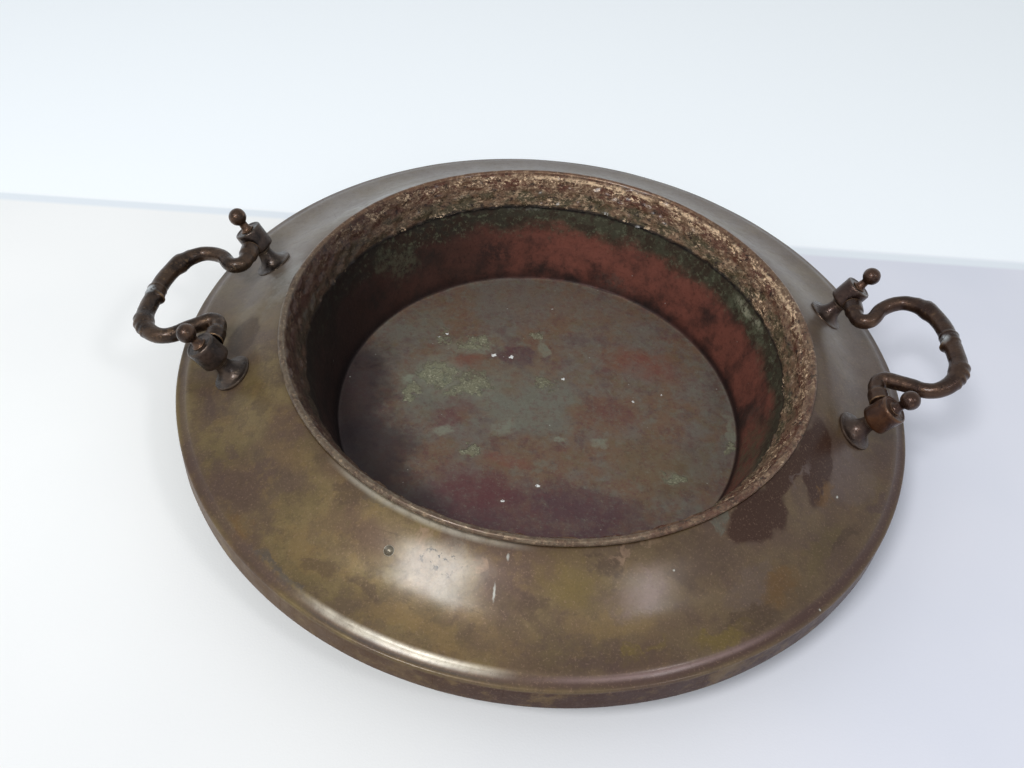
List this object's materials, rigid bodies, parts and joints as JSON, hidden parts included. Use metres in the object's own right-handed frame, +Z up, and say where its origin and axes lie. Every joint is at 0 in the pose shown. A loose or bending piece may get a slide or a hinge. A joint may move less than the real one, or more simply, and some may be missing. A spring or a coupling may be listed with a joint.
{
  "type": "charcoal brazier",
  "caption": "Round charcoal brazier: copper fire pan riveted inside a wide sloping brass brim, with a hinged bail handle between turned ball-topped posts on each side.",
  "frame": {"origin": "centre of the fire pan's flat underside, on the surface it rests on", "axes": "+Z up, +X towards the right handle, -Y towards the viewer of the picture"},
  "size_m": [0.5486, 0.5008, 0.1122],
  "materials": {
    "brim_brass": "aged olive-brown patina, half polished",
    "neck_brass": "rough crust of tan flakes over dark brown",
    "pan_copper": "burnt copper with soot and dull green bloom",
    "rivet_copper": "darkened copper",
    "foot_bronze": "dark bronze, waxed",
    "block_bronze": "dark bronze with worn edges",
    "finial_brass": "dark brass, polished by handling",
    "handle_bronze": "dark bronze, cast, polished by handling",
    "hardware_iron": "old blackened iron",
    "rim_iron": "old blackened iron"
  },
  "bodies": {
    "brazier": {"brim_shell": "brim_brass", "rim_wire": "rim_iron", "neck_ring": "neck_brass", "fire_pan": "pan_copper", "pan_rivet_1": "rivet_copper", "pan_rivet_2": "rivet_copper", "pan_rivet_3": "rivet_copper", "pan_rivet_4": "rivet_copper", "pan_rivet_5": "rivet_copper", "pan_rivet_6": "rivet_copper", "pan_rivet_7": "rivet_copper", "pan_rivet_8": "rivet_copper", "post_foot_left_front": "foot_bronze", "pivot_block_left_front": "block_bronze", "finial_left_front": "finial_brass", "stud_washer_left_front": "hardware_iron", "stud_nut_left_front": "hardware_iron", "post_foot_left_back": "foot_bronze", "pivot_block_left_back": "block_bronze", "finial_left_back": "finial_brass", "stud_washer_left_back": "hardware_iron", "stud_nut_left_back": "hardware_iron", "post_foot_right_front": "foot_bronze", "pivot_block_right_front": "block_bronze", "finial_right_front": "finial_brass", "stud_washer_right_front": "hardware_iron", "stud_nut_right_front": "hardware_iron", "post_foot_right_back": "foot_bronze", "pivot_block_right_back": "block_bronze", "finial_right_back": "finial_brass", "stud_washer_right_back": "hardware_iron", "stud_nut_right_back": "hardware_iron"},
    "left_bail": {"handle_left": "handle_bronze"},
    "right_bail": {"handle_right": "handle_bronze"}
  },
  "joints": [
    {"name": "handle_left_hinge", "type": "hinge", "parent": "brazier", "child": "left_bail", "pos_m": [-0.2159, 0, 0.087], "axis": [0, 1, 0], "range_deg": [-32, 174]},
    {"name": "handle_right_hinge", "type": "hinge", "parent": "brazier", "child": "right_bail", "pos_m": [0.2159, 0, 0.087], "axis": [0, -1, 0], "range_deg": [-58, 148]}
  ]
}
